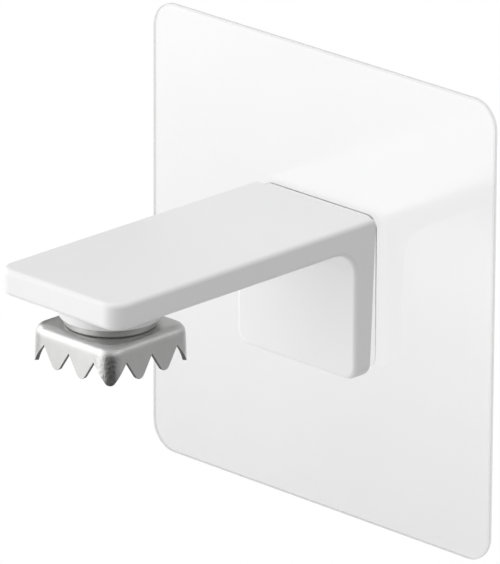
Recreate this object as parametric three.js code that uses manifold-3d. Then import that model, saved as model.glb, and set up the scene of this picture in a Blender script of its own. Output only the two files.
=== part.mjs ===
import * as THREE from 'three';
import { mergeVertices } from 'three/addons/utils/BufferGeometryUtils.js';
import Module from 'manifold-3d';

// Magnetic soap holder. A clear film sticks to the wall and carries a moulded bracket. A pot magnet set in
// the boss under the bracket's arm holds a toothed steel cap, which is pressed into a bar of soap.
// Millimetres, +Z up. The origin is the centre of the wall face, +Y points into the wall and the arm
// reaches along -Y.

// Wall film and the tacky layer behind it
const FILM_WIDTH = 88.9;
const FILM_HEIGHT = 91.1;
const FILM_CORNER_RADIUS = 5.5;
const FILM_THICKNESS = 0.3;
const ADHESIVE_THICKNESS = 0.4;

// Bonding pad behind the leg: its thickness is taken at the level of the arm's top face
const PAD_THICKNESS = 1.0;
const PAD_INSET = 0.9;
const PAD_TOP_INSET = 0.15;
const PAD_CORNER_RADIUS = 2.5;
const PAD_SEAM = 0.2;

// Bracket: arm, leg and the fillet between them
const BRACKET_WIDTH = 31.4;
const ARM_LENGTH = 68.4;
const ARM_THICKNESS = 5.2;
const ARM_TOP_HEIGHT = 16.4;
const ARM_CORNER_RADIUS = 3.5;
const LEG_HEIGHT = 31.4;
const LEG_THICKNESS = 5.4;
const LEG_CORNER_RADIUS = 3.0;
const LEG_BACK_DRAFT = THREE.MathUtils.degToRad(2.5);
const INNER_FILLET_RADIUS = 5.2;
const EDGE_RADIUS = 1.0;

// Pot magnet, and the boss that takes it
const POT_DIAMETER = 17.4;
const POT_HEIGHT = 5.0;
const POT_WALL = 1.6;
const POT_FLOOR = 1.6;
const POT_RIM_RADIUS = 0.3;
const POT_STAND_OUT = 1.65;
const MAGNET_CLEARANCE = 0.35;
const POCKET_CLEARANCE = 0.15;
const BOSS_WALL = 0.75;
const BOSS_RIM_RADIUS = 0.3;
const BOSS_FLOOR = 0.4;
const BOSS_FRONT_MARGIN = 4.6;

// Soap cap: a drawn square cup with a flared, toothed skirt
const CAP_ROOF_MARGIN = 0.1;
const CAP_SHEET = 0.75;
const CAP_SHOULDER_RADIUS = 2.0;
const CAP_CORNER_RADIUS = 3.5;
const CAP_BAND_HEIGHT = 1.35;
const CAP_FLARE = THREE.MathUtils.degToRad(2);
const NOTCHES_PER_SIDE = 3;
const NOTCH_PITCH = 6.5;
const NOTCH_DEPTH = 4.0;
const TIP_RADIUS = 1.2;

// Facets
const ROUND_SEGMENTS = 64;
const OUTLINE_SEGMENTS = 4;
const EDGE_SEGMENTS = 3;
const RIM_SEGMENTS = 3;
const SHOULDER_SEGMENTS = 5;
const TIP_SEGMENTS = 6;
const CAP_CORNER_SEGMENTS = 8;
const PLANE_TOLERANCE = 0.001;

// Levels along Y, from the wall outwards
const filmFront = -(ADHESIVE_THICKNESS + FILM_THICKNESS);
const bracketBack = filmFront - PAD_THICKNESS;
const legFront = bracketBack - LEG_THICKNESS;
const armFront = bracketBack - ARM_LENGTH;
const potRadius = POT_DIAMETER / 2;
const pocketRadius = potRadius + POCKET_CLEARANCE;
const bossRadius = pocketRadius + BOSS_WALL;
const bossAxis = armFront + BOSS_FRONT_MARGIN + bossRadius;

// Levels along Z, from the arm's top face down
const armTop = ARM_TOP_HEIGHT;
const armMiddle = armTop - ARM_THICKNESS / 2;
const armUnderside = armTop - ARM_THICKNESS;
const legFoot = armTop - LEG_HEIGHT;
const pocketRoof = armUnderside - BOSS_FLOOR;
const potRim = pocketRoof - POT_HEIGHT;
const bossFace = potRim + POT_STAND_OUT;

const wasm = await Module();
wasm.setup();

// Boolean helpers: a closed geometry becomes a solid, and a solid becomes a geometry again
function solidFrom(geometry) {
  geometry.deleteAttribute('normal');
  geometry.deleteAttribute('uv');
  const merged = mergeVertices(geometry);
  const vertProperties = new Float32Array(merged.attributes.position.array);
  const triVerts = new Uint32Array(merged.index.array);
  return new wasm.Manifold(new wasm.Mesh({ numProp: 3, vertProperties, triVerts }));
}

function geometryFrom(solid) {
  const { vertProperties, triVerts } = solid.getMesh();
  const geometry = new THREE.BufferGeometry();
  geometry.setAttribute('position', new THREE.BufferAttribute(vertProperties, 3));
  geometry.setIndex(new THREE.BufferAttribute(triVerts, 1));
  return geometry;
}

// Rectangle with its own radius at the lower and the upper corners; no radius leaves a square corner
function roundedRectangle(left, right, low, high, lowRadius, highRadius) {
  const corners = [
    { x: left + lowRadius, y: low + lowRadius, radius: lowRadius, start: Math.PI },
    { x: right - lowRadius, y: low + lowRadius, radius: lowRadius, start: 1.5 * Math.PI },
    { x: right - highRadius, y: high - highRadius, radius: highRadius, start: 0 },
    { x: left + highRadius, y: high - highRadius, radius: highRadius, start: 0.5 * Math.PI },
  ];
  const shape = new THREE.Shape();
  shape.moveTo(left, low + lowRadius);
  for (const { x, y, radius, start } of corners) {
    if (radius > 0) {
      shape.absarc(x, y, radius, start, start + Math.PI / 2, false);
    } else {
      shape.lineTo(x, y);
    }
  }
  shape.closePath();
  return shape;
}

// Plate of a given thickness above the outline's plane, with plain or rounded edges
function plate(shape, thickness, edgeRadius = 0) {
  const geometry = new THREE.ExtrudeGeometry(shape, {
    depth: thickness - 2 * edgeRadius,
    curveSegments: OUTLINE_SEGMENTS,
    bevelEnabled: edgeRadius > 0,
    bevelThickness: edgeRadius,
    bevelSize: edgeRadius,
    bevelOffset: -edgeRadius,
    bevelSegments: EDGE_SEGMENTS,
  });
  return geometry.translate(0, 0, edgeRadius);
}

// Stands a plate up: its outline's Y becomes Z, and its thickness runs along -Y from the given level
function upright(geometry, back) {
  return geometry.rotateX(Math.PI / 2).translate(0, back, 0);
}

// Bar across the bracket's width, from an outline whose X is Y and whose Y is Z
function crossBar(shape, width, edgeRadius = 0) {
  const geometry = plate(shape, width, edgeRadius);
  return geometry.rotateX(Math.PI / 2).rotateZ(Math.PI / 2).translate(-width / 2, 0, 0);
}

// Solid of revolution about Z, from a profile of radius and height that runs upwards on its outside
function revolve(points) {
  return new THREE.LatheGeometry(points, ROUND_SEGMENTS).rotateX(Math.PI / 2);
}

// Quarter arc of a profile that rounds the lower outer edge of a rim, about the given centre
function rimArc(radius, height, arcRadius) {
  const points = [];
  for (let step = 0; step <= RIM_SEGMENTS; step++) {
    const angle = (Math.PI / 2) * (step / RIM_SEGMENTS - 1);
    const offset = new THREE.Vector2(arcRadius * Math.cos(angle), arcRadius * Math.sin(angle));
    points.push(offset.add(new THREE.Vector2(radius, height)));
  }
  return points;
}

// Cylinder profile whose lower outer edge is rounded
function roundedFootProfile(radius, low, high, footRadius) {
  const foot = rimArc(radius - footRadius, low + footRadius, footRadius);
  return [new THREE.Vector2(0, low), ...foot, new THREE.Vector2(radius, high), new THREE.Vector2(0, high)];
}

// The space behind the leg's drafted back, set towards the wall by a clearance
function spaceBehindLeg(clearance) {
  const reach = 2 * LEG_HEIGHT;
  const setback = reach * Math.tan(LEG_BACK_DRAFT);
  const shape = new THREE.Shape();
  shape.moveTo(bracketBack + clearance, armTop);
  shape.lineTo(bracketBack + clearance - setback, armTop - reach);
  shape.lineTo(bracketBack + LEG_THICKNESS, armTop - reach);
  shape.lineTo(bracketBack + LEG_THICKNESS, armTop);
  shape.closePath();
  return solidFrom(crossBar(shape, 2 * BRACKET_WIDTH));
}

// Concave web in the corner between arm and leg, sunk into both by the edge radius and more
function innerFilletShape() {
  const root = 2 * EDGE_RADIUS;
  const radius = INNER_FILLET_RADIUS;
  const shape = new THREE.Shape();
  shape.moveTo(legFront, armUnderside - radius);
  shape.lineTo(legFront + root, armUnderside - radius);
  shape.lineTo(legFront + root, armUnderside + root);
  shape.lineTo(legFront - radius, armUnderside + root);
  shape.lineTo(legFront - radius, armUnderside);
  shape.absarc(legFront - radius, armUnderside - radius, radius, Math.PI / 2, 0, true);
  return shape;
}

function bracketGeometry() {
  const half = BRACKET_WIDTH / 2;
  const armOutline = roundedRectangle(-half, half, armFront, bracketBack, ARM_CORNER_RADIUS, 0);
  const arm = plate(armOutline, ARM_THICKNESS, EDGE_RADIUS).translate(0, 0, armUnderside);
  const legOutline = roundedRectangle(-half, half, legFoot, armMiddle, LEG_CORNER_RADIUS, 0);
  const legDepth = LEG_THICKNESS + 2 * EDGE_RADIUS;
  const leg = upright(plate(legOutline, legDepth, EDGE_RADIUS), legFront + legDepth);
  const fillet = crossBar(innerFilletShape(), BRACKET_WIDTH, EDGE_RADIUS);
  const boss = revolve(roundedFootProfile(bossRadius, bossFace, armMiddle, BOSS_RIM_RADIUS));
  const pocket = new THREE.CylinderGeometry(pocketRadius, pocketRadius, POT_HEIGHT, ROUND_SEGMENTS);
  pocket.rotateX(Math.PI / 2).translate(0, bossAxis, potRim + POT_HEIGHT / 2);
  const body = solidFrom(arm)
    .add(solidFrom(leg).subtract(spaceBehindLeg(0)))
    .add(solidFrom(fillet))
    .add(solidFrom(boss.translate(0, bossAxis, 0)));
  return geometryFrom(body.subtract(solidFrom(pocket)));
}

function bondingPadGeometry() {
  const half = BRACKET_WIDTH / 2 - PAD_INSET;
  const radius = PAD_CORNER_RADIUS;
  const outline = roundedRectangle(-half, half, legFoot + PAD_INSET, armTop - PAD_TOP_INSET, radius, radius);
  const slab = upright(plate(outline, PAD_THICKNESS + LEG_THICKNESS), filmFront);
  return geometryFrom(solidFrom(slab).intersect(spaceBehindLeg(PAD_SEAM)));
}

// Film and adhesive share one outline and differ in thickness
function filmLayerGeometry(thickness) {
  const halfWidth = FILM_WIDTH / 2;
  const halfHeight = FILM_HEIGHT / 2;
  const radius = FILM_CORNER_RADIUS;
  const outline = roundedRectangle(-halfWidth, halfWidth, -halfHeight, halfHeight, radius, radius);
  return upright(plate(outline, thickness), 0);
}

// Steel cup, open downwards, with its rim at height 0
function magnetPotGeometry() {
  const bore = potRadius - POT_WALL;
  const rim = rimArc(potRadius - POT_RIM_RADIUS, POT_RIM_RADIUS, POT_RIM_RADIUS);
  return revolve([
    new THREE.Vector2(0, POT_HEIGHT - POT_FLOOR),
    new THREE.Vector2(bore, POT_HEIGHT - POT_FLOOR),
    new THREE.Vector2(bore, 0),
    ...rim,
    new THREE.Vector2(potRadius, POT_HEIGHT),
    new THREE.Vector2(0, POT_HEIGHT),
  ]);
}

// Magnet, flush with the pot's rim and seated on its floor
function magnetDiscGeometry() {
  const radius = potRadius - POT_WALL - MAGNET_CLEARANCE;
  return revolve(roundedFootProfile(radius, 0, POT_HEIGHT - POT_FLOOR, POT_RIM_RADIUS));
}

// Soap cap. The skirt is drawn round a square of straight runs, one radius outside it, so a section at any
// height is the same square with another radius.
const capHeight = CAP_SHOULDER_RADIUS + CAP_BAND_HEIGHT + NOTCH_DEPTH;
const capSide = POT_DIAMETER + 2 * (CAP_ROOF_MARGIN + CAP_SHOULDER_RADIUS);
const capRun = capSide / 2 - CAP_CORNER_RADIUS;
const hemRadius = CAP_CORNER_RADIUS + (capHeight - CAP_SHOULDER_RADIUS) * Math.tan(CAP_FLARE);
const hemCornerLength = hemRadius * Math.PI / 2;
const hemQuarter = 2 * capRun + hemCornerLength;
const firstNotch = -NOTCH_PITCH * (NOTCHES_PER_SIDE - 1) / 2;
const sideTeethLength = NOTCH_PITCH * (NOTCHES_PER_SIDE - 1);
const cornerToothLength = hemQuarter - sideTeethLength;

// Where the rounded tip of a tooth runs into its straight flank, and how far above the tip
function tipTangent(halfWidth) {
  const rise = NOTCH_DEPTH - TIP_RADIUS;
  const angle = Math.atan2(rise, halfWidth) - Math.acos(TIP_RADIUS / Math.hypot(halfWidth, rise));
  return { offset: TIP_RADIUS * Math.cos(angle), rise: TIP_RADIUS * (1 + Math.sin(angle)) };
}

// Height of the hem above the tips, at a distance from the middle of a tooth
function hemRise(distance, halfWidth) {
  const tangent = tipTangent(halfWidth);
  if (distance < tangent.offset) {
    return TIP_RADIUS - Math.sqrt(TIP_RADIUS ** 2 - distance ** 2);
  }
  const along = (distance - tangent.offset) / (halfWidth - tangent.offset);
  return tangent.rise + along * (NOTCH_DEPTH - tangent.rise);
}

// Point on the run and outward direction at a distance along the hem from the middle of the +X side
function hemPlace(distance) {
  const pastRun = distance - capRun;
  if (pastRun <= 0) {
    return { x: capRun, y: distance, angle: 0 };
  }
  if (pastRun <= hemCornerLength) {
    return { x: capRun, y: capRun, angle: pastRun / hemRadius };
  }
  return { x: capRun - (pastRun - hemCornerLength), y: capRun, angle: Math.PI / 2 };
}

// Columns of one tooth, from the notch at its start up to the next notch
function toothColumns(start, length) {
  const half = length / 2;
  const middle = start + half;
  const tangent = tipTangent(half).offset;
  const distances = [start];
  for (let step = 0; step <= TIP_SEGMENTS; step++) {
    distances.push(middle + tangent * (2 * step / TIP_SEGMENTS - 1));
  }
  for (let step = 0; step <= CAP_CORNER_SEGMENTS; step++) {
    distances.push(capRun + hemCornerLength * step / CAP_CORNER_SEGMENTS);
  }
  const inside = distances.filter((distance) => distance >= start && distance < start + length);
  const ordered = [...new Set(inside)].sort((a, b) => a - b);
  return ordered.map((distance) => {
    const rise = hemRise(Math.abs(distance - middle), half);
    return { ...hemPlace(distance), rise };
  });
}

// All columns of the skirt, once round: the teeth of a side and then the tooth over its corner
function skirtColumns() {
  const quarter = [];
  for (let tooth = 0; tooth < NOTCHES_PER_SIDE - 1; tooth++) {
    quarter.push(...toothColumns(firstNotch + tooth * NOTCH_PITCH, NOTCH_PITCH));
  }
  quarter.push(...toothColumns(firstNotch + sideTeethLength, cornerToothLength));
  const columns = [];
  for (let turn = 0; turn < 4; turn++) {
    const angle = turn * Math.PI / 2;
    for (const column of quarter) {
      const base = new THREE.Vector2(column.x, column.y).rotateAround(new THREE.Vector2(), angle);
      columns.push({ base, angle: column.angle + angle, rise: column.rise });
    }
  }
  return columns;
}

// One ring of the cap: a point for each column, at a radius outside the run and a height
function capRing(columns, sectionAt) {
  return columns.map((column) => {
    const { radius, height } = sectionAt(column);
    const x = column.base.x + radius * Math.cos(column.angle);
    const y = column.base.y + radius * Math.sin(column.angle);
    return new THREE.Vector3(x, y, height);
  });
}

// Rings of one face of the sheet from the roof to the hem, at a depth below the outer face
function capFaceRings(columns, depth) {
  const centre = { radius: CAP_CORNER_RADIUS - CAP_SHOULDER_RADIUS, height: -CAP_SHOULDER_RADIUS };
  const shoulder = CAP_SHOULDER_RADIUS - depth;
  const rings = [];
  for (let step = 0; step <= SHOULDER_SEGMENTS; step++) {
    const angle = Math.PI / 2 + (CAP_FLARE - Math.PI / 2) * (step / SHOULDER_SEGMENTS);
    const radius = centre.radius + shoulder * Math.cos(angle);
    const height = centre.height + shoulder * Math.sin(angle);
    rings.push(capRing(columns, () => ({ radius, height })));
  }
  const wallRadius = centre.radius + shoulder / Math.cos(CAP_FLARE);
  rings.push(capRing(columns, (column) => {
    const height = column.rise - capHeight;
    return { radius: wallRadius + (centre.height - height) * Math.tan(CAP_FLARE), height };
  }));
  return rings;
}

// Skin over a row of closed rings, with a fan at each end
function loft(rings, firstCentre, lastCentre) {
  const count = rings[0].length;
  const points = [firstCentre, ...rings.flat(), lastCentre];
  const last = points.length - 1;
  const at = (ring, column) => 1 + ring * count + (column % count);
  const index = [];
  for (let column = 0; column < count; column++) {
    index.push(0, at(0, column), at(0, column + 1));
    index.push(last, at(rings.length - 1, column + 1), at(rings.length - 1, column));
    for (let ring = 0; ring < rings.length - 1; ring++) {
      index.push(at(ring, column), at(ring + 1, column), at(ring + 1, column + 1));
      index.push(at(ring, column), at(ring + 1, column + 1), at(ring, column + 1));
    }
  }
  return new THREE.BufferGeometry().setFromPoints(points).setIndex(index);
}

// The cap's roof is at height 0 and its teeth point down. Facets that lie in one plane are joined.
function soapCapGeometry() {
  const columns = skirtColumns();
  const outside = capFaceRings(columns, 0);
  const inside = capFaceRings(columns, CAP_SHEET).reverse();
  const roof = new THREE.Vector3(0, 0, 0);
  const ceiling = new THREE.Vector3(0, 0, -CAP_SHEET);
  const sheet = loft([...outside, ...inside], roof, ceiling);
  return geometryFrom(solidFrom(sheet).simplify(PLANE_TOLERANCE));
}

// Finishes
const whitePlastic = new THREE.MeshStandardMaterial({ color: 0xf0f0ee, roughness: 0.45, metalness: 0 });
const clearFilm = new THREE.MeshStandardMaterial({
  color: 0xf2f3f3,
  roughness: 0.15,
  metalness: 0,
  transparent: true,
  opacity: 0.35,
});
const clearAdhesive = clearFilm.clone();
clearAdhesive.roughness = 0.4;
const clearGel = clearFilm.clone();
clearGel.roughness = 0.3;
const platedSteel = new THREE.MeshStandardMaterial({ color: 0xb4b4b2, roughness: 0.3, metalness: 1 });
const magnetGrey = new THREE.MeshStandardMaterial({ color: 0x8c8c8e, roughness: 0.35, metalness: 1 });
const satinSteel = new THREE.MeshStandardMaterial({ color: 0xc4c4c2, roughness: 0.28, metalness: 1 });

function piece(name, geometry, material, y = 0, z = 0) {
  geometry.computeVertexNormals();
  const mesh = new THREE.Mesh(geometry, material);
  mesh.name = name;
  mesh.position.set(0, y, z);
  return mesh;
}

const wallMount = new THREE.Group();
wallMount.add(
  piece('adhesive_layer', filmLayerGeometry(ADHESIVE_THICKNESS), clearAdhesive),
  piece('film', filmLayerGeometry(FILM_THICKNESS), clearFilm, -ADHESIVE_THICKNESS),
  piece('bonding_pad', bondingPadGeometry(), clearGel),
);

// The pieces on the boss's axis stand on the level of the pot's rim
const magnetHold = new THREE.Group();
magnetHold.position.set(0, bossAxis, potRim);
magnetHold.add(
  piece('magnet_pot', magnetPotGeometry(), platedSteel),
  piece('magnet_disc', magnetDiscGeometry(), magnetGrey),
  piece('soap_cap', soapCapGeometry(), satinSteel),
);

const soapHolder = new THREE.Group();
soapHolder.add(wallMount, piece('bracket', bracketGeometry(), whitePlastic), magnetHold);

export default soapHolder;
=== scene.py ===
"""Magnetic soap holder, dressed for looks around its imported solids.

A clear film and its tacky layer, a bonding pad, a moulded bracket, a pot magnet in the bracket's boss,
and the toothed steel cap that the magnet holds. Metres, +Z up, +Y into the wall, arm along -Y.
"""

import math

import bmesh
import bpy
from bpy.props import FloatProperty, FloatVectorProperty, PointerProperty
from mathutils import Matrix, Vector


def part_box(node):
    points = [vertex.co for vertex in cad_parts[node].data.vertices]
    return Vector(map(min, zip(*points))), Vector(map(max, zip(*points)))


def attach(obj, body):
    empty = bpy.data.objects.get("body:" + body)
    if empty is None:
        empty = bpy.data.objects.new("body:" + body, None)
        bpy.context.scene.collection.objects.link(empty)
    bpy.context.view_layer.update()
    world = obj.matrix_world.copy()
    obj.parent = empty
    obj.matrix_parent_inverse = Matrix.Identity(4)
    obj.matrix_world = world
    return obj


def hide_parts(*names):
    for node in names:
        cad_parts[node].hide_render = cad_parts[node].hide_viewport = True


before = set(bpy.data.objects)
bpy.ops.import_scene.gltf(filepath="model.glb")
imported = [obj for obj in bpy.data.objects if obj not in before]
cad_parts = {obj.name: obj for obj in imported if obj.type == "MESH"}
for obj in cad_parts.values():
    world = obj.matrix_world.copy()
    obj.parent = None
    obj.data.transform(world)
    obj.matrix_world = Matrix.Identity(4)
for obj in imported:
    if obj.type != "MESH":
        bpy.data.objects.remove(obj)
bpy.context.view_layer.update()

bl_info = {
    "name": "Magnetic Soap Holder",
    "version": (1, 0, 0),
    "blender": (4, 5, 0),
    "location": "3D View > Sidebar > Soap Holder",
    "description": "Builds a wall soap holder: film, pad, bracket, pot magnet and toothed steel cap",
    "category": "Add Mesh",
}

MM = 0.001

# Places that the solids give
FILM_LOW, FILM_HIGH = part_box("film")
TACK_LOW, TACK_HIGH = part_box("adhesive_layer")
PAD_LOW, PAD_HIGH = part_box("bonding_pad")
BRACKET_LOW, BRACKET_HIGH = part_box("bracket")
POT_LOW, POT_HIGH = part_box("magnet_pot")
DISC_LOW, DISC_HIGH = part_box("magnet_disc")
CAP_LOW, CAP_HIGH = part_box("soap_cap")
BOSS_AXIS = (POT_LOW + POT_HIGH) / 2
CAP_MIDDLE = (CAP_LOW + CAP_HIGH) / 2
HOLDER_MIDDLE = Vector((0, BOSS_AXIS.y / 2, 0))

# Smoothness of the round forms
CORNER_STEPS = 14
FILLET_STEPS = 18
EDGE_STEPS = 6
TURN_STEPS = 144
RIM_STEPS = 6
SHOULDER_STEPS = 12
WALL_ROWS = 7
TIP_STEPS = 16
FLANK_STEPS = 10
PAD_ROWS = 8
SHARP_ANGLE = math.radians(38)
ROUNDED_ANGLE = math.radians(30)
NORMAL_WEIGHT = 100

# Small forms
BOSS_SINK = 0.03 * MM
# How fast the gel rim that carries the painted contact shadow grows towards its top
SHADOW_RIM_GROWTH = 6
WRINKLE_START, WRINKLE_END = 0.0116, 0.0138

# Optics: a low index inside keeps a thin clear layer bright at its edges, and its coat mirrors the studio
LAYER_IOR = 1.05
FILM_COAT_IOR = 1.74
TACK_COAT_IOR = 1.55

# Stage
FLOOR_FADE_START = 0.45
FILM_CARD_SHIFT = 0.004
CLIP_RANGE = (0.1, 20)


def length(name, description, default):
    """Property for a length in metres."""
    return FloatProperty(
        name=name, description=description, default=default, min=0, precision=5, unit="LENGTH"
    )


def angle(name, description, degrees):
    """Property for an angle, stored in radians."""
    return FloatProperty(name=name, description=description, default=math.radians(degrees), unit="ROTATION")


def colour(name, description, default):
    """Property for a linear colour."""
    return FloatVectorProperty(
        name=name, description=description, default=default, size=3, min=0, max=1, subtype="COLOR"
    )


def factor(name, description, default):
    """Property for a share between none and all."""
    return FloatProperty(name=name, description=description, default=default, min=0, max=1, subtype="FACTOR")


class FilmSettings(bpy.types.PropertyGroup):
    """Clear wall film and the tacky layer behind it."""

    corner_radius: length("Corner Radius", "Radius of the film's four corners", 5.5 * MM)
    edge_radius: length("Edge Radius", "Rounding of the cut edge of each layer", 0.05 * MM)
    border: length("Pressed Border", "Width of the border that the cutter pressed into the film", 0.45 * MM)
    tack_inset: length("Tacky Layer Inset", "How far the tacky layer ends inside the film's edge", 0.03 * MM)
    layer_gap: length("Layer Gap", "Optical gap between the two clear layers", 0.02 * MM)
    film_colour: colour("Film Colour", "Tint of the clear film", (0.986, 0.986, 0.986))
    border_colour: colour("Border Colour", "Tint of the film's pressed border", (0.825, 0.825, 0.825))
    edge_colour: colour("Cut Edge Colour", "Tint of the layers' cut edges", (0.35, 0.35, 0.35))
    edge_cover: factor("Cut Edge Cover", "How much the layers' cut edges hide", 0.3)
    tack_colour: colour("Tacky Layer Colour", "Tint of the tacky layer", (0.983, 0.983, 0.983))


class PadSettings(bpy.types.PropertyGroup):
    """Bonding pad between the leg and the film."""

    corner_radius: length("Corner Radius", "Radius of the pad's four corners", 2.5 * MM)
    bulge: length("Side Bulge", "How far the pressed gel's sides swell between its faces", 0.12 * MM)
    seam: length("Seam", "Optical gap to the leg and to the film", 0.03 * MM)
    # The pressed rim is a dark band on the gel where it meets the film: a painted contact shadow between gel
    # and film, taller at its upper end where that shadow line is widest.
    rim: length("Pressed Rim", "Height of the rim where the gel meets the film, at its lower end", 0.08 * MM)
    top_shadow_rim: length("Top Rim", "Height of that rim at its upper end, where the gel is thinnest", 0.5 * MM)
    gel_colour: colour("Gel Colour", "Colour of the clear gel", (0.9, 0.905, 0.905))
    gel_cover: factor("Gel Cover", "How much the gel hides", 0.06)
    # Cover and colour of the rim paint that contact shadow dark.
    rim_shadow_cover: factor("Rim Cover", "How much the pressed rim hides", 0.8)
    rim_shadow_colour: colour("Rim Colour", "Colour of the pressed rim", (0.22, 0.225, 0.225))


class BracketSettings(bpy.types.PropertyGroup):
    """Moulded bracket with its leg, arm, fillet and boss."""

    arm_thickness: length("Arm Thickness", "Height of the arm's edge", 5.2 * MM)
    arm_corner: length("Arm Corner Radius", "Radius of the two front corners, seen from above", 3.5 * MM)
    leg_thickness: length("Leg Thickness", "Depth of the leg at the arm's top face", 5.4 * MM)
    leg_corner: length("Leg Corner Radius", "Radius of the two lower corners, seen from the front", 3.0 * MM)
    leg_draft: angle("Leg Back Draft", "Slope of the leg's back, which thins the leg downwards", 2.5)
    fillet_radius: length("Inner Fillet", "Radius of the hollow between arm and leg", 5.2 * MM)
    edge_radius: length("Edge Radius", "Rounding of the outer edges", 1.0 * MM)
    back_edge_radius: length("Back Edge Radius", "Rounding of the edges round the leg's back", 0.35 * MM)
    boss_radius: length("Boss Radius", "Outer radius of the boss that takes the magnet", 9.6 * MM)
    boss_face: length("Boss Stand-off", "How far the pot stands out of the boss", 1.65 * MM)
    boss_root: length("Boss Root Fillet", "Radius of the hollow between boss and arm", 0.45 * MM)
    pocket_radius: length("Pocket Radius", "Radius of the pocket for the pot", 8.85 * MM)
    rim_radius: length("Boss Rim Radius", "Rounding of the boss's lower edges", 0.3 * MM)
    plastic_colour: colour("Plastic Colour", "Colour of the white moulding", (0.86, 0.86, 0.86))


class MagnetSettings(bpy.types.PropertyGroup):
    """Steel pot and the magnet in it."""

    pot_wall: length("Pot Wall", "Thickness of the pot's wall", 1.6 * MM)
    pot_floor: length("Pot Floor", "Thickness of the pot's floor", 1.6 * MM)
    rim_radius: length("Rim Radius", "Rounding of the pot's outer edges", 0.5 * MM)
    bore_radius: length("Bore Edge Radius", "Rounding of the pot's inner edge", 0.12 * MM)
    disc_radius: length("Magnet Edge Radius", "Rounding of the magnet's edges", 0.3 * MM)
    disc_sink: length("Magnet Sink", "How far the magnet sits behind the rim", 0.02 * MM)
    plating_colour: colour("Plating Colour", "Colour of the nickel plating on the pot", (0.58, 0.58, 0.575))
    magnet_colour: colour("Magnet Colour", "Colour of the magnet's duller plating", (0.42, 0.42, 0.43))


class CapSettings(bpy.types.PropertyGroup):
    """Drawn steel cap with its toothed skirt."""

    side: length("Side", "Width of the cap's square below its shoulder", 21.6 * MM)
    sheet: length("Sheet", "Thickness of the steel sheet", 0.75 * MM)
    shoulder: length("Shoulder Radius", "Rounding between roof and skirt", 2.0 * MM)
    corner: length("Corner Radius", "Radius of the four corners below the shoulder", 3.5 * MM)
    flare: angle("Flare", "How far the skirt leans out", 2.0)
    notch_pitch: length("Notch Pitch", "Distance between the notches of one side", 6.5 * MM)
    notch_depth: length("Notch Depth", "Height of the teeth", 4.0 * MM)
    tip_radius: length("Tip Radius", "Rounding of the teeth's tips", 1.2 * MM)
    burr: length("Cut Edge Radius", "Rounding of the cut edge", 0.06 * MM)
    steel_colour: colour("Steel Colour", "Colour of the satin steel", (0.7, 0.7, 0.695))
    # The cut colour is a little the duller sheared steel and mostly painted shade of the cap's shaded inside.
    cut_shade_colour: colour("Cut Colour", "Colour of the sheared edge", (0.16, 0.16, 0.16))


class StageSettings(bpy.types.PropertyGroup):
    """Floor, light and camera."""

    floor_drop: length("Floor Drop", "Height of the film's lower edge above the floor", 0.3)
    floor_radius: length("Floor Radius", "Radius at which the floor has faded out", 0.55)
    floor_colour: colour("Floor Colour", "Colour of the pale floor", (0.86, 0.86, 0.86))
    room_light: FloatProperty(
        name="Room Light", description="Mean light from all around", default=0.55, min=0
    )
    room_slope: FloatVectorProperty(
        name="Room Slope", description="How the room light grows along each axis",
        default=(-0.12, 0.0, 0.55), size=3, subtype="XYZ",
    )
    key_power: FloatProperty(
        name="Key Light", description="Soft light from the front left", default=7.9, min=0, unit="POWER"
    )
    bounce_power: FloatProperty(
        name="Bounce Light", description="Soft light from the lower left", default=6.2, min=0, unit="POWER"
    )
    azimuth: angle("Azimuth", "Direction of the camera, round from the front", 44.5)
    elevation: angle("Elevation", "Height of the camera above the horizon", 20.0)
    roll: angle("Roll", "Turn of the camera about its own axis", 0.25)
    distance: length("Distance", "From the camera to the middle of the film", 1.5833)
    lens: FloatProperty(
        name="Lens", description="Focal length of the camera", default=536.17, min=1, unit="CAMERA"
    )
    aim_left: length("Aim Left", "How far left of the film's middle the camera aims", 13.12 * MM)
    aim_down: length("Aim Down", "How far below the film's middle the camera aims", 0.455 * MM)


class HolderSettings(bpy.types.PropertyGroup):
    """All settings of the soap holder."""

    film: PointerProperty(type=FilmSettings, name="Film", description="Wall film")
    pad: PointerProperty(type=PadSettings, name="Pad", description="Bonding pad")
    bracket: PointerProperty(type=BracketSettings, name="Bracket", description="Moulded bracket")
    magnet: PointerProperty(type=MagnetSettings, name="Magnet", description="Pot magnet")
    cap: PointerProperty(type=CapSettings, name="Cap", description="Soap cap")
    stage: PointerProperty(type=StageSettings, name="Stage", description="Floor, light and camera")


# Outlines and meshes


def arc(centre, radius, start, end, steps):
    """Points of an arc in a plane, both ends among them; the angles are in degrees."""
    points = []
    for step in range(steps + 1):
        turn = math.radians(start + (end - start) * step / steps)
        points.append((centre[0] + radius * math.cos(turn), centre[1] + radius * math.sin(turn)))
    return points


def rounded_rectangle(half_width, low, high, radius):
    """Outline of an upright rectangle with round corners, as X and Z."""
    right, top, bottom = half_width - radius, high - radius, low + radius
    return (
        arc((right, bottom), radius, -90, 0, CORNER_STEPS)
        + arc((right, top), radius, 0, 90, CORNER_STEPS)
        + arc((-right, top), radius, 90, 180, CORNER_STEPS)
        + arc((-right, bottom), radius, 180, 270, CORNER_STEPS)
    )


def mesh_from(name, points, faces, finishes=None):
    """Closed, smoothly shaded mesh with its faces turned outwards."""
    sculpt = bmesh.new()
    corners = [sculpt.verts.new(point) for point in points]
    for index, face in enumerate(faces):
        made = sculpt.faces.new([corners[corner] for corner in face])
        made.material_index = finishes[index] if finishes else 0
    bmesh.ops.recalc_face_normals(sculpt, faces=sculpt.faces)
    mesh = bpy.data.meshes.new(name)
    sculpt.to_mesh(mesh)
    sculpt.free()
    smooth(mesh)
    return mesh


def smooth(mesh):
    """Smooth shading with crisp edges."""
    mesh.shade_smooth()
    mesh.set_sharp_from_angle(angle=SHARP_ANGLE)


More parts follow.
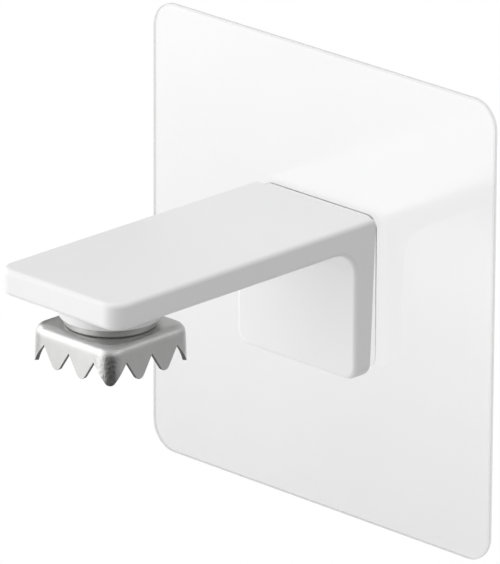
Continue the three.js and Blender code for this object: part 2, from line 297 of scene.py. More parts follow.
def loft(name, rings, finishes=None):
    """Mesh over closed rings of equal length, with a face over each end.

    A finish belongs to each gap between rings.
    """
    count = len(rings[0])
    points = [point for ring in rings for point in ring]
    faces = [list(range(count)), list(range(len(points) - count, len(points)))]
    kinds = [0, 0]
    for gap in range(len(rings) - 1):
        base = gap * count
        for column in range(count):
            following = (column + 1) % count
            faces.append((base + column, base + following, base + count + following, base + count + column))
            kinds.append(finishes[gap] if finishes else 0)
    return mesh_from(name, points, faces, kinds)


def turned(name, profile, axis):
    """Mesh turned about a vertical axis from a profile of radius and height, with both ends on the axis."""
    rings = [[(axis.x, axis.y, profile[0][1])]]
    for radius, height in profile[1:-1]:
        circle = arc((axis.x, axis.y), radius, 0, 360, TURN_STEPS)[:-1]
        rings.append([(x, y, height) for x, y in circle])
    rings.append([(axis.x, axis.y, profile[-1][1])])
    starts = [0]
    for ring in rings:
        starts.append(starts[-1] + len(ring))
    faces = []
    for number, (first, second) in enumerate(zip(rings, rings[1:])):
        for column in range(TURN_STEPS):
            following = (column + 1) % TURN_STEPS
            low, high = starts[number], starts[number + 1]
            near = [low] if len(first) == 1 else [low + column, low + following]
            far = [high] if len(second) == 1 else [high + following, high + column]
            faces.append(near + far)
    return mesh_from(name, [point for ring in rings for point in ring], faces)


def add_piece(name, mesh, body, node, slot, *finishes):
    """Adds a piece that rides on a body and stands for a solid."""
    for finish in finishes:
        mesh.materials.append(finish)
    piece = bpy.data.objects.new(name, mesh)
    bpy.context.scene.collection.objects.link(piece)
    even = piece.modifiers.new("even_faces", "WEIGHTED_NORMAL")
    even.keep_sharp = True
    even.weight = NORMAL_WEIGHT
    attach(piece, body)
    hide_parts(node)
    return piece


# Finishes


class Finish:
    """Node material under construction."""

    def __init__(self, name):
        self.material = bpy.data.materials.new(name)
        self.material.use_nodes = True
        self.nodes = self.material.node_tree.nodes
        self.links = self.material.node_tree.links
        self.shader = self.nodes["Principled BSDF"]
        self.place = self.nodes.new("ShaderNodeTexCoord").outputs["Object"]

    def set(self, **values):
        """Sets sockets of the shader that are the same all over."""
        for name, value in values.items():
            socket = self.shader.inputs[name.replace("_", " ").title().replace("Ior", "IOR")]
            socket.default_value = (*value, 1) if hasattr(value, "__len__") else value
        return self

    def stretched(self, scale, offset=(0, 0, 0)):
        """Place on the object, scaled along each axis and moved."""
        mapping = self.nodes.new("ShaderNodeMapping")
        mapping.inputs["Scale"].default_value = scale
        mapping.inputs["Location"].default_value = offset
        self.links.new(self.place, mapping.inputs["Vector"])
        return mapping.outputs["Vector"]

    def reach(self, scale, offset=(0, 0, 0)):
        """Distance of the stretched place from its origin."""
        node = self.nodes.new("ShaderNodeVectorMath")
        node.operation = "LENGTH"
        self.links.new(self.stretched(scale, offset), node.inputs[0])
        return node.outputs["Value"]

    def joined(self, operation, first, second):
        """Two values brought together, for example multiplied."""
        node = self.nodes.new("ShaderNodeMath")
        node.operation = operation
        self.links.new(first, node.inputs[0])
        self.links.new(second, node.inputs[1])
        return node.outputs["Value"]

    def noise(self, scale, detail=3.0, place=None):
        """Noise whose scale is in cells per metre."""
        node = self.nodes.new("ShaderNodeTexNoise")
        node.inputs["Scale"].default_value = scale
        node.inputs["Detail"].default_value = detail
        self.links.new(place or self.place, node.inputs["Vector"])
        return node.outputs["Fac"]

    def cells(self, scale):
        """Distance to the nearest of scattered points."""
        node = self.nodes.new("ShaderNodeTexVoronoi")
        node.inputs["Scale"].default_value = scale
        self.links.new(self.place, node.inputs["Vector"])
        return node.outputs["Distance"]

    def spread(self, value, low, high, from_low=0.3, from_high=0.7):
        """Value brought into a range."""
        node = self.nodes.new("ShaderNodeMapRange")
        node.inputs["From Min"].default_value = from_low
        node.inputs["From Max"].default_value = from_high
        node.inputs["To Min"].default_value = low
        node.inputs["To Max"].default_value = high
        self.links.new(value, node.inputs["Value"])
        return node.outputs["Result"]

    def tint(self, value, base, shade):
        """Colour that varies from a shade of the base up to the base."""
        ramp = self.nodes.new("ShaderNodeValToRGB")
        ramp.color_ramp.elements[0].position = 0.3
        ramp.color_ramp.elements[0].color = (*(channel * shade for channel in base), 1)
        ramp.color_ramp.elements[1].position = 0.7
        ramp.color_ramp.elements[1].color = (*base, 1)
        self.links.new(value, ramp.inputs["Fac"])
        self.links.new(ramp.outputs["Color"], self.shader.inputs["Base Color"])
        return self

    def rough(self, value, low, high):
        """Roughness that varies over the surface."""
        self.links.new(self.spread(value, low, high), self.shader.inputs["Roughness"])
        return self

    def bump(self, value, height, strength=1.0):
        """Relief of a height in metres, on top of any relief that is there."""
        node = self.nodes.new("ShaderNodeBump")
        node.inputs["Distance"].default_value = height
        node.inputs["Strength"].default_value = strength
        self.links.new(value, node.inputs["Height"])
        normal = self.shader.inputs["Normal"]
        if normal.links:
            self.links.new(normal.links[0].from_socket, node.inputs["Normal"])
        self.links.new(node.outputs["Normal"], normal)
        return self

    def show(self, share, first, second):
        """Sends a mix of two shaders to the surface."""
        mix = self.nodes.new("ShaderNodeMixShader")
        self.links.new(share, mix.inputs["Fac"])
        self.links.new(first, mix.inputs[1])
        self.links.new(second, mix.inputs[2])
        self.links.new(mix.outputs["Shader"], self.nodes["Material Output"].inputs["Surface"])


def satin_plastic(settings):
    """White moulding with the fine matt grain of a blasted tool."""
    finish = Finish("satin_white_plastic").set(ior=1.47)
    finish.tint(finish.noise(scale=45, detail=2), settings.plastic_colour, shade=0.985)
    finish.rough(finish.noise(scale=1800), low=0.4, high=0.5)
    finish.bump(finish.noise(scale=3200, detail=2), height=0.000012, strength=0.5)
    return finish.material


def soft_gel(settings):
    """Clear soft gel with faint cloudiness and fine bubbles."""
    finish = Finish("clear_soft_gel").set(alpha=settings.gel_cover, ior=1.47)
    finish.tint(finish.noise(scale=900), settings.gel_colour, shade=0.94)
    finish.rough(finish.noise(scale=700), low=0.18, high=0.32)
    finish.bump(finish.cells(scale=1600), height=0.00004, strength=0.5)
    return finish.material


def painted_shadow_gel_rim(settings):
    """Rim of the gel, pressed flat on the film, coloured dark as a painted contact shadow where gel and film
    meet.
    """
    finish = Finish("gel_rim_painted_contact_shadow").set(alpha=settings.rim_shadow_cover, ior=1.47)
    finish.tint(finish.noise(scale=1200), settings.rim_shadow_colour, shade=0.85)
    finish.rough(finish.noise(scale=900), low=0.3, high=0.45)
    return finish.material


def clear_layer(name, tint, coat_rough, coat_index):
    """Clear layer with the gentle waviness of a rolled film, and a coat that mirrors."""
    finish = Finish(name).set(transmission_weight=1.0, ior=LAYER_IOR)
    finish.set(coat_weight=1.0, coat_ior=coat_index, coat_roughness=coat_rough)
    finish.tint(finish.noise(scale=30), tint, shade=0.99)
    finish.rough(finish.noise(scale=220), low=0.04, high=0.08)
    finish.bump(finish.noise(scale=55, detail=1), height=0.00004, strength=0.35)
    return finish.material


def cut_film_edge(settings):
    """Cut edge of the film, where the eye looks along the layer."""
    finish = Finish("cut_film_edge").set(alpha=settings.edge_cover, ior=1.46)
    finish.tint(finish.noise(scale=800), settings.edge_colour, shade=0.85)
    finish.rough(finish.noise(scale=1500), low=0.25, high=0.4)
    return finish.material


def nickel_plating(name, tint, rough):
    """Plated steel with turning marks that run round the axis."""
    finish = Finish(name).set(metallic=1.0)
    finish.tint(finish.noise(scale=500), tint, shade=0.93)
    finish.rough(finish.noise(scale=1300), low=rough, high=rough * 1.35)
    turning = finish.stretched(scale=(700, 700, 5200))
    finish.bump(finish.noise(scale=1, detail=4, place=turning), height=0.000006, strength=0.6)
    return finish.material


def satin_steel(settings):
    """Satin sheet with the fine upright marks that drawing leaves on the skirt, and wrinkled corners."""
    finish = Finish("satin_drawn_steel").set(metallic=1.0)
    drawn = finish.noise(scale=1, detail=4, place=finish.stretched(scale=(4200, 4200, 260)))
    finish.tint(finish.noise(scale=420), settings.steel_colour, shade=0.95)
    finish.rough(drawn, low=0.32, high=0.4)
    finish.bump(drawn, height=0.000004, strength=0.5)
    finish.bump(finish.noise(scale=5200, detail=2), height=0.000004, strength=0.4)
    radius = finish.reach(scale=(1, 1, 0), offset=(-CAP_MIDDLE.x, -CAP_MIDDLE.y, 0))
    corner = finish.spread(radius, low=0.06, high=1, from_low=WRINKLE_START, from_high=WRINKLE_END)
    wrinkles = finish.joined("MULTIPLY", finish.noise(scale=1500, detail=5), corner)
    finish.bump(wrinkles, height=0.00013, strength=0.7)
    return finish.material


def sheared_steel_painted_shade(settings):
    """Sheared edge of the sheet, rougher than its faces, and dark: a little from its duller cut, mostly as
    painted shade of the cap's shaded inside.
    """
    finish = Finish("sheared_steel_edge_painted_shade").set(metallic=1.0)
    sheared = finish.noise(scale=1, place=finish.stretched(scale=(5200, 5200, 900)))
    finish.tint(sheared, settings.cut_shade_colour, shade=0.7)
    finish.rough(sheared, low=0.4, high=0.55)
    finish.bump(sheared, height=0.00001, strength=0.6)
    return finish.material


# Wall film, tacky layer and bonding pad


def layer_rings(half_width, half_height, radius, front, back, edge, border=0.0):
    """Rings of a thin upright layer with slightly rounded edges, and a border on its front if it has one."""
    rings = []
    for level, towards in ((front, 1), (back, -1)):
        steps = []
        profile = arc((edge, edge), edge, 270, 180, 2)
        if border and towards > 0:
            profile.insert(0, (border, 0.0))
        for inset, rise in profile:
            width, height = half_width - inset, half_height - inset
            outline = rounded_rectangle(width, -height, height, radius - inset)
            steps.append([(x, level + towards * rise, z) for x, z in outline])
        rings += steps if towards > 0 else steps[::-1]
    return rings


def clear_layers(settings):
    """Film and tacky layer, with their cut edges in a finish of their own."""
    half_width, half_height = FILM_HIGH.x, FILM_HIGH.z
    radius, edge, inset = settings.corner_radius, settings.edge_radius, settings.tack_inset
    film_back = FILM_HIGH.y - settings.layer_gap
    film_rings = layer_rings(half_width, half_height, radius, FILM_LOW.y, film_back, edge, settings.border)
    film = loft("film_sheet", film_rings, [2] + [1] * (len(film_rings) - 2))
    film_face = clear_layer("clear_gloss_film", settings.film_colour, 0.2, FILM_COAT_IOR)
    cut_edge = cut_film_edge(settings)
    border = clear_layer("pressed_film_border", settings.border_colour, 0.3, FILM_COAT_IOR)
    film_piece = add_piece("film_sheet", film, "holder", "film", "clear_film", film_face, cut_edge, border)
    tack_rings = layer_rings(
        half_width - inset, half_height - inset, radius - inset, TACK_LOW.y, TACK_HIGH.y, edge
    )
    tack = loft("tacky_sheet", tack_rings, [1] * (len(tack_rings) - 1))
    tack_face = clear_layer("clear_tacky_gel", settings.tack_colour, 0.08, TACK_COAT_IOR)
    tack_piece = add_piece(
        "tacky_sheet", tack, "holder", "adhesive_layer", "clear_adhesive", tack_face, cut_edge
    )
    for piece in (film_piece, tack_piece):
        piece.visible_shadow = piece.visible_diffuse = False


def leg_back(height, draft):
    """Y of the leg's drafted back at a height."""
    return BRACKET_HIGH.y - (BRACKET_HIGH.z - height) * math.tan(draft)


def bonding_pad(settings, draft):
    """Wedge of clear gel with swollen sides, from the film to the back of the leg."""
    rings = []
    rows = [0.0] + [row / PAD_ROWS for row in range(PAD_ROWS + 1)]
    for number, share in enumerate(rows):
        swell = settings.bulge * math.sin(math.pi * share)
        low, high = PAD_LOW.z - swell, PAD_HIGH.z + swell
        outline = rounded_rectangle(PAD_HIGH.x + swell, low, high, settings.corner_radius)
        ring = []
        for x, z in outline:
            upper = (z - PAD_LOW.z) / (PAD_HIGH.z - PAD_LOW.z)
            # The rim next to the film carries the painted contact shadow; its height grows towards the top,
            # where that shadow is widest.
            rise = settings.rim + (settings.top_shadow_rim - settings.rim) * upper**SHADOW_RIM_GROWTH if number else 0.0
            back, front = PAD_HIGH.y - settings.seam - rise, leg_back(z, draft) + settings.seam
            ring.append((x, back + (front - back) * share, z))
        rings.append(ring)
    pad = loft("gel_pad", rings, [1] + [0] * (len(rings) - 2))
    # The rim finish paints the contact shadow where the gel meets the film.
    gel, rim = soft_gel(settings), painted_shadow_gel_rim(settings)
    piece = add_piece("gel_pad", pad, "holder", "bonding_pad", "clear_gel", gel, rim)
    piece.visible_shadow = piece.visible_diffuse = False


# Bracket


def bracket_blank(settings):
    """Sharp-edged bracket without its boss: points, faces, and which face is the leg's back."""
    half, top, foot = BRACKET_HIGH.x, BRACKET_HIGH.z, BRACKET_LOW.z
    front, underside = BRACKET_LOW.y, BRACKET_HIGH.z - settings.arm_thickness
    leg_front = BRACKET_HIGH.y - settings.leg_thickness
    radius, corner, leg_corner = settings.fillet_radius, settings.arm_corner, settings.leg_corner
    points, faces = [], []

    def add(x, y, z):
        points.append((x, y, z))
        return len(points) - 1

    nose = arc((-half + corner, front + corner), corner, 180, 270, CORNER_STEPS)
    nose += arc((half - corner, front + corner), corner, 270, 360, CORNER_STEPS)
    nose_top = [add(x, y, top) for x, y in nose]
    nose_low = [add(x, y, underside) for x, y in nose]
    hollow = arc((leg_front - radius, underside - radius), radius, 90, 0, FILLET_STEPS)
    hollow_left = [add(-half, y, z) for y, z in hollow]
    hollow_right = [add(half, y, z) for y, z in hollow]
    toe = arc((half - leg_corner, foot + leg_corner), leg_corner, 0, -90, CORNER_STEPS)
    toe += arc((-half + leg_corner, foot + leg_corner), leg_corner, 270, 180, CORNER_STEPS)
    toe_front = [add(x, leg_front, z) for x, z in toe]
    toe_back = [add(x, leg_back(z, settings.leg_draft), z) for x, z in toe]
    back_right = add(half, BRACKET_HIGH.y, top)
    back_left = add(-half, BRACKET_HIGH.y, top)

    faces.append([*nose_top, back_right, back_left])
    faces.append([*nose_low, hollow_right[0], hollow_left[0]])
    faces.append([nose_top[-1], back_right, toe_back[0], toe_front[0], *hollow_right[::-1], nose_low[-1]])
    faces.append([nose_top[0], back_left, toe_back[-1], toe_front[-1], *hollow_left[::-1], nose_low[0]])
    faces.append([hollow_left[-1], hollow_right[-1], *toe_front])
    faces.append([back_left, back_right, *toe_back])
    back_face = len(faces) - 1
    for first, second in ((nose_top, nose_low), (toe_front, toe_back), (hollow_left, hollow_right)):
        for step in range(len(first) - 1):
            faces.append([first[step], first[step + 1], second[step + 1], second[step]])
    return points, faces, back_face


def bracket_body(settings):
    """Blank whose edges are rounded: less round the leg's back than elsewhere."""
    points, faces, back_face = bracket_blank(settings)
    sculpt = bmesh.new()
    corners = [sculpt.verts.new(Vector(point) / MM) for point in points]
    made = [sculpt.faces.new([corners[corner] for corner in face]) for face in faces]
    weight = sculpt.edges.layers.float.new("bevel_weight_edge")
    bmesh.ops.recalc_face_normals(sculpt, faces=sculpt.faces)
    back = made[back_face]
    top = made[0]
    for edge in sculpt.edges:
        if edge.calc_face_angle() > ROUNDED_ANGLE:
            at_back = back in edge.link_faces and top not in edge.link_faces
            edge[weight] = settings.back_edge_radius / settings.edge_radius if at_back else 1.0
    mesh = bpy.data.meshes.new("bracket_body")
    sculpt.to_mesh(mesh)
    sculpt.free()
    body = bpy.data.objects.new("bracket_body", mesh)
    bpy.context.scene.collection.objects.link(body)
    rounding = body.modifiers.new("rounded_edges", "BEVEL")
    rounding.limit_method = "WEIGHT"
    rounding.width = settings.edge_radius / MM
    rounding.segments = EDGE_STEPS
    rounding.use_clamp_overlap = True
    return body


def boss_mesh(settings):
    """Boss with its pocket, turned about the magnet's axis and sunk into the arm."""
    radius, pocket, rim = settings.boss_radius, settings.pocket_radius, settings.rim_radius
    face = POT_LOW.z + settings.boss_face
    underside = BRACKET_HIGH.z - settings.arm_thickness
    root, lead_in = settings.boss_root, rim / 2
    profile = [(0, POT_HIGH.z), (pocket, POT_HIGH.z), (pocket, face + lead_in)]
    profile += arc((pocket + lead_in, face + lead_in), lead_in, 180, 270, RIM_STEPS)[1:]
    profile += arc((radius - rim, face + rim), rim, -90, 0, RIM_STEPS)
    profile += arc((radius + root, underside + BOSS_SINK - root), root, 180, 90, RIM_STEPS)
    profile += [(radius + root, underside + settings.arm_thickness / 2)]
    profile += [(0, underside + settings.arm_thickness / 2)]
    return turned("boss", profile, BOSS_AXIS)


def bracket(settings):
    """Rounded body joined with its boss."""
    body = bracket_body(settings)
    boss_shape = boss_mesh(settings)
    boss_shape.transform(Matrix.Scale(1 / MM, 4))
    boss = bpy.data.objects.new("boss", boss_shape)
    bpy.context.scene.collection.objects.link(boss)
    union = body.modifiers.new("boss", "BOOLEAN")
    union.operation = "UNION"
    union.solver = "EXACT"
    union.object = boss
    view = bpy.context.evaluated_depsgraph_get()
    mesh = bpy.data.meshes.new_from_object(body.evaluated_get(view))
    mesh.name = "white_bracket"
    for helper in (body, boss):
        bpy.data.objects.remove(helper)
    mesh.transform(Matrix.Scale(MM, 4))
    mesh.materials.clear()
    smooth(mesh)
    add_piece("white_bracket", mesh, "holder", "bracket", "white_plastic", satin_plastic(settings))


# Magnet


def pot_magnet(settings):
    """Steel pot, open downwards, and the magnet flush with its rim."""
    outer, low, high = POT_HIGH.x, POT_LOW.z, POT_HIGH.z
    bore, roof = outer - settings.pot_wall, POT_HIGH.z - settings.pot_floor
    rim, inner = settings.rim_radius, settings.bore_radius
    profile = [(0, roof), (bore, roof), (bore, low + inner)]
    profile += arc((bore + inner, low + inner), inner, 180, 270, RIM_STEPS)[1:]
    profile += arc((outer - rim, low + rim), rim, -90, 0, RIM_STEPS)
    profile += arc((outer - rim, high - rim), rim, 0, 90, RIM_STEPS)
    profile += [(0, high)]
    pot = turned("steel_pot", profile, BOSS_AXIS)
    plating = nickel_plating("bright_nickel_plating", settings.plating_colour, 0.42)
    add_piece("steel_pot", pot, "holder", "magnet_pot", "plated_steel", plating)

    radius, edge = DISC_HIGH.x, settings.disc_radius
    low, high = DISC_LOW.z + settings.disc_sink, DISC_HIGH.z - settings.disc_sink
    profile = [(0, low), *arc((radius - edge, low + edge), edge, -90, 0, RIM_STEPS)]
    profile += [*arc((radius - edge, high - edge), edge, 0, 90, RIM_STEPS), (0, high)]
    disc = turned("magnet_core", profile, BOSS_AXIS)
    dull = nickel_plating("dull_magnet_plating", settings.magnet_colour, 0.36)
    add_piece("magnet_core", disc, "holder", "magnet_disc", "magnet", dull)


# Soap cap


class Skirt:
    """Course of the cap's hem: straight runs of a square with round corners, cut into teeth."""

    def __init__(self, settings):
        self.settings = settings
        self.height = CAP_HIGH.z - CAP_LOW.z
        self.run = settings.side / 2 - settings.corner
        self.lean = math.tan(settings.flare)
        self.hem_radius = settings.corner + (self.height - settings.shoulder) * self.lean
        self.corner_length = self.hem_radius * math.pi / 2
        self.quarter = 2 * self.run + self.corner_length

    def place(self, distance):
        """Point on the run and outward angle, at a distance from the middle of the +X side."""
        past = distance - self.run
        if past <= 0:
            return self.run, distance, 0.0
        if past <= self.corner_length:
            return self.run, self.run, past / self.hem_radius
        return self.run - (past - self.corner_length), self.run, math.pi / 2

    def tangent(self, half):
        """Where a tooth's round tip runs into its flank: distance from the middle, and rise above the tip."""
        radius, depth = self.settings.tip_radius, self.settings.notch_depth
        rise = depth - radius
        turn = math.atan2(rise, half) - math.acos(radius / math.hypot(half, rise))
        return radius * math.cos(turn), radius * (1 + math.sin(turn))

    def rise(self, distance, half):
        """Height of the hem above the tips, at a distance from the middle of a tooth."""
        radius, depth = self.settings.tip_radius, self.settings.notch_depth
        offset, start = self.tangent(half)
        if distance < offset:
            return radius - math.sqrt(radius**2 - distance**2)
        return start + (distance - offset) / (half - offset) * (depth - start)

    def tooth(self, start, span):
        """Columns of one tooth from its first notch up to the next: run, angle and rise."""
        half = span / 2
        offset, _ = self.tangent(half)
        steps = [offset + (half - offset) * step / FLANK_STEPS for step in range(FLANK_STEPS, 0, -1)]
        tip = [offset * math.cos(math.pi * step / TIP_STEPS) for step in range(TIP_STEPS + 1)]
        places = [-step for step in steps] + [-step for step in tip] + steps[::-1][:-1]
        return [(*self.place(start + half + place), self.rise(abs(place), half)) for place in places]

    def columns(self):
        """All columns once round the cap."""
        pitch = self.settings.notch_pitch
        quarter = self.tooth(-pitch, pitch) + self.tooth(0.0, pitch)
        quarter += self.tooth(pitch, self.quarter - 2 * pitch)
        full = []
        for turn in range(4):
            spin = Matrix.Rotation(turn * math.pi / 2, 2)
            for x, y, direction, rise in quarter:
                full.append((spin @ Vector((x, y)), direction + turn * math.pi / 2, rise))
        return full


def cap_rings(settings):
    """Rings from the roof's edge down the outside, round the cut and up the inside, with their finishes."""
    skirt = Skirt(settings)
    columns = skirt.columns()
    centre = settings.corner - settings.shoulder
    burr, sheet = settings.burr, settings.sheet

    def ring(section):
        points = []
        for base, direction, rise in columns:
            radius, depth = section(rise)
            x = BOSS_AXIS.x + base.x + radius * math.cos(direction)
            y = BOSS_AXIS.y + base.y + radius * math.sin(direction)
            points.append((x, y, CAP_HIGH.z - depth))
        return points

    def shoulder(under, share):
        bend = settings.shoulder - under
        turn = math.pi / 2 + (settings.flare - math.pi / 2) * share
        return ring(lambda rise: (centre + bend * math.cos(turn), settings.shoulder - bend * math.sin(turn)))

    def wall(under, share, lift):
        foot = centre + (settings.shoulder - under) / math.cos(settings.flare)

        def section(rise):
            start = settings.shoulder * (1 - math.sin(settings.flare))
            depth = start + (skirt.height - rise - lift - start) * share
            return foot + (depth - settings.shoulder) * skirt.lean, depth

        return ring(section)

    def face(under):
        rows = [shoulder(under, step / SHOULDER_STEPS) for step in range(SHOULDER_STEPS + 1)]
        return rows + [wall(under, step / WALL_ROWS, burr) for step in range(1, WALL_ROWS + 1)]

    outside, inside = face(0.0), face(sheet)[::-1]
    cut = [wall(burr, 1.0, 0.0), wall(sheet - burr, 1.0, 0.0)]
    # The three gaps of the cut take the dark edge finish, painted shade of the cap's shaded inside.
    finishes = [0] * (len(outside) - 1) + [1] * 3 + [0] * (len(inside) - 1)
    return outside + cut + inside, finishes


def soap_cap(settings):
    """Drawn cap with its toothed skirt."""
    rings, finishes = cap_rings(settings)
    mesh = loft("toothed_cap", rings, finishes)
    # The cut finish is rougher sheared steel, darkened as painted shade of the cap's inside.
    steel, cut = satin_steel(settings), sheared_steel_painted_shade(settings)
    add_piece("toothed_cap", mesh, "cap", "soap_cap", "satin_stainless", steel, cut)


# Stage


def studio_world(settings):
    """Sloping room light, with a white background for the camera and for what mirrors or shows it."""
    world = bpy.data.worlds.new("studio")
    bpy.context.scene.world = world
    world.use_nodes = True
    nodes, links = world.node_tree.nodes, world.node_tree.links
    room = nodes["Background"]
    room.inputs["Color"].default_value = (1, 1, 1, 1)
    slope = nodes.new("ShaderNodeVectorMath")
    slope.operation = "DOT_PRODUCT"
    slope.inputs[1].default_value = settings.room_slope
    links.new(nodes.new("ShaderNodeTexCoord").outputs["Generated"], slope.inputs[0])
    level = nodes.new("ShaderNodeMath")
    level.inputs[1].default_value = settings.room_light
    links.new(slope.outputs["Value"], level.inputs[0])
    links.new(level.outputs["Value"], room.inputs["Strength"])
    white = nodes.new("ShaderNodeBackground")
    white.inputs["Color"].default_value = (1, 1, 1, 1)
    white.inputs["Strength"].default_value = 1
    path = nodes.new("ShaderNodeLightPath")
    seen = path.outputs["Is Camera Ray"]
    for name in ("Is Glossy Ray", "Is Transmission Ray"):
        either = nodes.new("ShaderNodeMath")
        either.operation = "MAXIMUM"
        links.new(seen, either.inputs[0])
        links.new(path.outputs[name], either.inputs[1])
        seen = either.outputs["Value"]
    direct = nodes.new("ShaderNodeMath")
    direct.operation = "SUBTRACT"
    direct.use_clamp = True
    links.new(seen, direct.inputs[0])
    links.new(path.outputs["Diffuse Depth"], direct.inputs[1])
    mix = nodes.new("ShaderNodeMixShader")
    links.new(direct.outputs["Value"], mix.inputs["Fac"])
    links.new(room.outputs["Background"], mix.inputs[1])
    links.new(white.outputs["Background"], mix.inputs[2])
    links.new(mix.outputs["Shader"], nodes["World Output"].inputs["Surface"])


def pale_floor(settings):
    """Round floor that fades into the white background and is seen from above only."""
    height = FILM_LOW.z - settings.floor_drop
    mesh = bpy.data.meshes.new("floor")
    sculpt = bmesh.new()
    bmesh.ops.create_circle(sculpt, cap_ends=True, radius=settings.floor_radius, segments=TURN_STEPS)
    sculpt.to_mesh(mesh)
    sculpt.free()
    floor = bpy.data.objects.new("floor", mesh)
    floor.location = (HOLDER_MIDDLE.x, HOLDER_MIDDLE.y, height)
    bpy.context.scene.collection.objects.link(floor)
    finish = Finish("pale_floor").set(roughness=0.9, specular_ior_level=0.0)
    finish.tint(finish.noise(scale=6, detail=2), settings.floor_colour, shade=0.99)
    start = settings.floor_radius * FLOOR_FADE_START
    fade = finish.spread(finish.reach(scale=(1, 1, 1)), 0, 1, start, settings.floor_radius)
    below = finish.nodes.new("ShaderNodeNewGeometry").outputs["Backfacing"]
    clear = finish.nodes.new("ShaderNodeBsdfTransparent")
    gone = finish.joined("MAXIMUM", fade, below)
    finish.show(gone, finish.shader.outputs["BSDF"], clear.outputs["BSDF"])
    mesh.materials.append(finish.material)


def soft_light(name, place, size, power):
    """Square light that faces the middle of the holder."""
    data = bpy.data.lights.new(name, "AREA")
    data.shape = "SQUARE"
    data.size = size
    data.energy = power
    light = bpy.data.objects.new(name, data)
    light.location = place
    light.rotation_euler = (HOLDER_MIDDLE - Vector(place)).to_track_quat("-Z", "Y").to_euler()
    light.visible_camera = light.visible_glossy = light.visible_transmission = False
    bpy.context.scene.collection.objects.link(light)


def studio_card(name, middle, direction, distance, size, low, high, soft=0.0):
    """Card that only mirrors show, graded from its lower to its upper edge.

    A soft one is oval and fades outwards.
    """
    right, top = size[0] / 2, size[1] / 2
    mesh = bpy.data.meshes.new(name)
    outline = [(-right, -top, 0), (right, -top, 0), (right, top, 0), (-right, top, 0)]
    mesh.from_pydata(outline, [], [(0, 1, 2, 3)])
    card = bpy.data.objects.new(name, mesh)
    towards = Vector(direction).normalized()
    card.location = middle + towards * distance
    card.rotation_euler = towards.to_track_quat("-Z", "Y").to_euler()
    bpy.context.scene.collection.objects.link(card)
    finish = Finish(name)
    nodes, links = finish.nodes, finish.links
    nodes.remove(finish.shader)
    split = nodes.new("ShaderNodeSeparateXYZ")
    links.new(finish.place, split.inputs["Vector"])
    glow = nodes.new("ShaderNodeEmission")
    links.new(finish.spread(split.outputs["Y"], low, high, -top, top), glow.inputs["Strength"])
    mirrored = nodes.new("ShaderNodeLightPath").outputs["Glossy Depth"]
    if soft:
        radius = finish.reach(scale=(1 / right, 1 / top, 1))
        mirrored = finish.joined("MINIMUM", mirrored, finish.spread(radius, 1, 0, 1 - soft, 1))
    clear = nodes.new("ShaderNodeBsdfTransparent")
    finish.show(mirrored, clear.outputs["BSDF"], glow.outputs["Emission"])
    mesh.materials.append(finish.material)
    card.visible_camera = card.visible_diffuse = card.visible_shadow = False


def studio_lights(settings):
    """Two soft lights, and the cards that the film and the steel mirror."""
    soft_light("key_light", place=(-0.72, -1.3, 0.1), size=1.7, power=settings.key_power)
    soft_light("bounce_light", place=(-1.1, -0.9, -0.35), size=1.0, power=settings.bounce_power)
    film_middle = Vector((FILM_CARD_SHIFT, FILM_LOW.y, 0))
    studio_card(
        "graded_card", film_middle, direction=(-0.6587, -0.6703, -0.342), distance=0.15,
        size=(0.095, 0.142), low=0.0, high=1.15,
    )
    studio_card(
        "bright_card", CAP_MIDDLE, direction=(-0.7, -0.52, 0.22), distance=0.6,
        size=(1.5, 1.5), low=1.66, high=1.88, soft=0.3,
    )
    studio_card(
        "side_card", CAP_MIDDLE, direction=(0.68, 0.62, -0.2), distance=0.4,
        size=(1.6, 0.75), low=0.37, high=0.44, soft=0.3,
    )
    studio_card(
        "front_card", CAP_MIDDLE, direction=(0.67, -0.659, 0.05), distance=0.45,
        size=(0.75, 1.1), low=0.22, high=0.46, soft=0.5,
    )
    studio_card(
        "dark_card", CAP_MIDDLE, direction=(0.61, -0.55, -0.58), distance=0.05,
        size=(0.096, 0.096), low=0.0, high=0.02, soft=0.5,
    )
    studio_card(
        "back_card", CAP_MIDDLE, direction=(-0.6587, 0.6703, 0.342), distance=0.4,
        size=(0.5, 0.5), low=0.22, high=0.22, soft=0.3,
    )


def camera(settings):
    """Long lens at the photograph's angle."""
    azimuth, elevation = settings.azimuth, settings.elevation
    back = Vector((
        math.sin(azimuth) * math.cos(elevation),
        -math.cos(azimuth) * math.cos(elevation),
        math.sin(elevation),
    ))
    level = (-back).cross(Vector((0, 0, 1))).normalized()
    upright = level.cross(-back)
    right = math.cos(settings.roll) * level + math.sin(settings.roll) * upright
    up = math.cos(settings.roll) * upright - math.sin(settings.roll) * level
    aim = Vector((0, FILM_LOW.y, 0)) - settings.aim_left * right - settings.aim_down * up
    data = bpy.data.cameras.new("camera")
    data.lens = settings.lens
    data.clip_start, data.clip_end = CLIP_RANGE
    eye = bpy.data.objects.new("camera", data)
    turn = Matrix((right, up, back)).transposed().to_4x4()
    eye.matrix_world = Matrix.Translation(aim + settings.distance * back) @ turn
    bpy.context.scene.collection.objects.link(eye)
    bpy.context.scene.camera = eye


# Operators


class SOAP_HOLDER_OT_film(bpy.types.Operator):
    """Makes the clear film and the tacky layer behind it"""

    bl_idname = "soap_holder.film"
    bl_label = "Wall Film"

    def execute(self, context):
        clear_layers(context.scene.soap_holder.film)
        return {"FINISHED"}


class SOAP_HOLDER_OT_pad(bpy.types.Operator):
    """Makes the gel pad between the film and the leg"""

    bl_idname = "soap_holder.pad"
    bl_label = "Bonding Pad"

    def execute(self, context):
        holder = context.scene.soap_holder
        bonding_pad(holder.pad, holder.bracket.leg_draft)
        return {"FINISHED"}


class SOAP_HOLDER_OT_bracket(bpy.types.Operator):
    """Makes the moulded bracket with its boss"""

    bl_idname = "soap_holder.bracket"
    bl_label = "Bracket"

    def execute(self, context):
        bracket(context.scene.soap_holder.bracket)
        return {"FINISHED"}


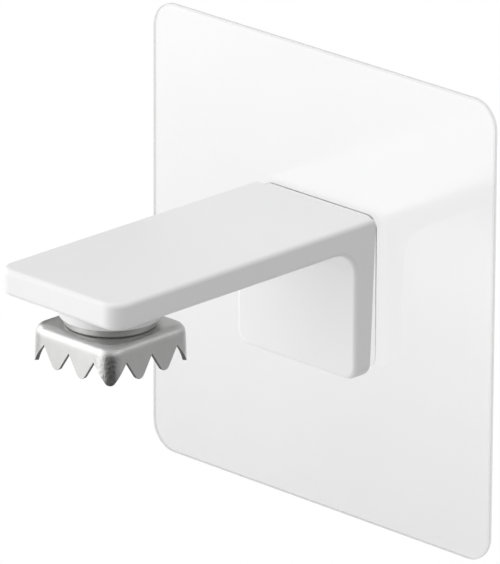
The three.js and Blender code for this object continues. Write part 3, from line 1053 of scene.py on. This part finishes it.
class SOAP_HOLDER_OT_magnet(bpy.types.Operator):
    """Makes the steel pot and the magnet in it"""

    bl_idname = "soap_holder.magnet"
    bl_label = "Pot Magnet"

    def execute(self, context):
        pot_magnet(context.scene.soap_holder.magnet)
        return {"FINISHED"}


class SOAP_HOLDER_OT_cap(bpy.types.Operator):
    """Makes the toothed steel cap"""

    bl_idname = "soap_holder.cap"
    bl_label = "Soap Cap"

    def execute(self, context):
        soap_cap(context.scene.soap_holder.cap)
        return {"FINISHED"}


class SOAP_HOLDER_OT_stage(bpy.types.Operator):
    """Makes the floor, the light and the camera"""

    bl_idname = "soap_holder.stage"
    bl_label = "Stage"

    def execute(self, context):
        settings = context.scene.soap_holder.stage
        studio_world(settings)
        pale_floor(settings)
        studio_lights(settings)
        camera(settings)
        context.scene.view_settings.view_transform = "Standard"
        return {"FINISHED"}


OPERATORS = (
    SOAP_HOLDER_OT_film,
    SOAP_HOLDER_OT_pad,
    SOAP_HOLDER_OT_bracket,
    SOAP_HOLDER_OT_magnet,
    SOAP_HOLDER_OT_cap,
    SOAP_HOLDER_OT_stage,
)


class VIEW3D_PT_soap_holder(bpy.types.Panel):
    """Lists the settings and the operators of the soap holder"""

    bl_label = "Soap Holder"
    bl_space_type = "VIEW_3D"
    bl_region_type = "UI"
    bl_category = "Soap Holder"

    def draw(self, context):
        holder = context.scene.soap_holder
        groups = (holder.film, holder.pad, holder.bracket, holder.magnet, holder.cap, holder.stage)
        for operator, settings in zip(OPERATORS, groups):
            box = self.layout.box()
            box.operator(operator.bl_idname)
            for name in settings.__annotations__:
                box.prop(settings, name)


CLASSES = (
    FilmSettings,
    PadSettings,
    BracketSettings,
    MagnetSettings,
    CapSettings,
    StageSettings,
    HolderSettings,
    *OPERATORS,
    VIEW3D_PT_soap_holder,
)


def register():
    """Registers the classes and hangs the settings on the scene."""
    for item in CLASSES:
        bpy.utils.register_class(item)
    bpy.types.Scene.soap_holder = PointerProperty(type=HolderSettings)


def unregister():
    """Takes the settings and the classes away again."""
    del bpy.types.Scene.soap_holder
    for item in reversed(CLASSES):
        bpy.utils.unregister_class(item)


def main():
    """Builds the holder and its stage."""
    register()
    bpy.ops.soap_holder.film()
    bpy.ops.soap_holder.pad()
    bpy.ops.soap_holder.bracket()
    bpy.ops.soap_holder.magnet()
    bpy.ops.soap_holder.cap()
    bpy.ops.soap_holder.stage()


if __name__ == "__main__":
    main()
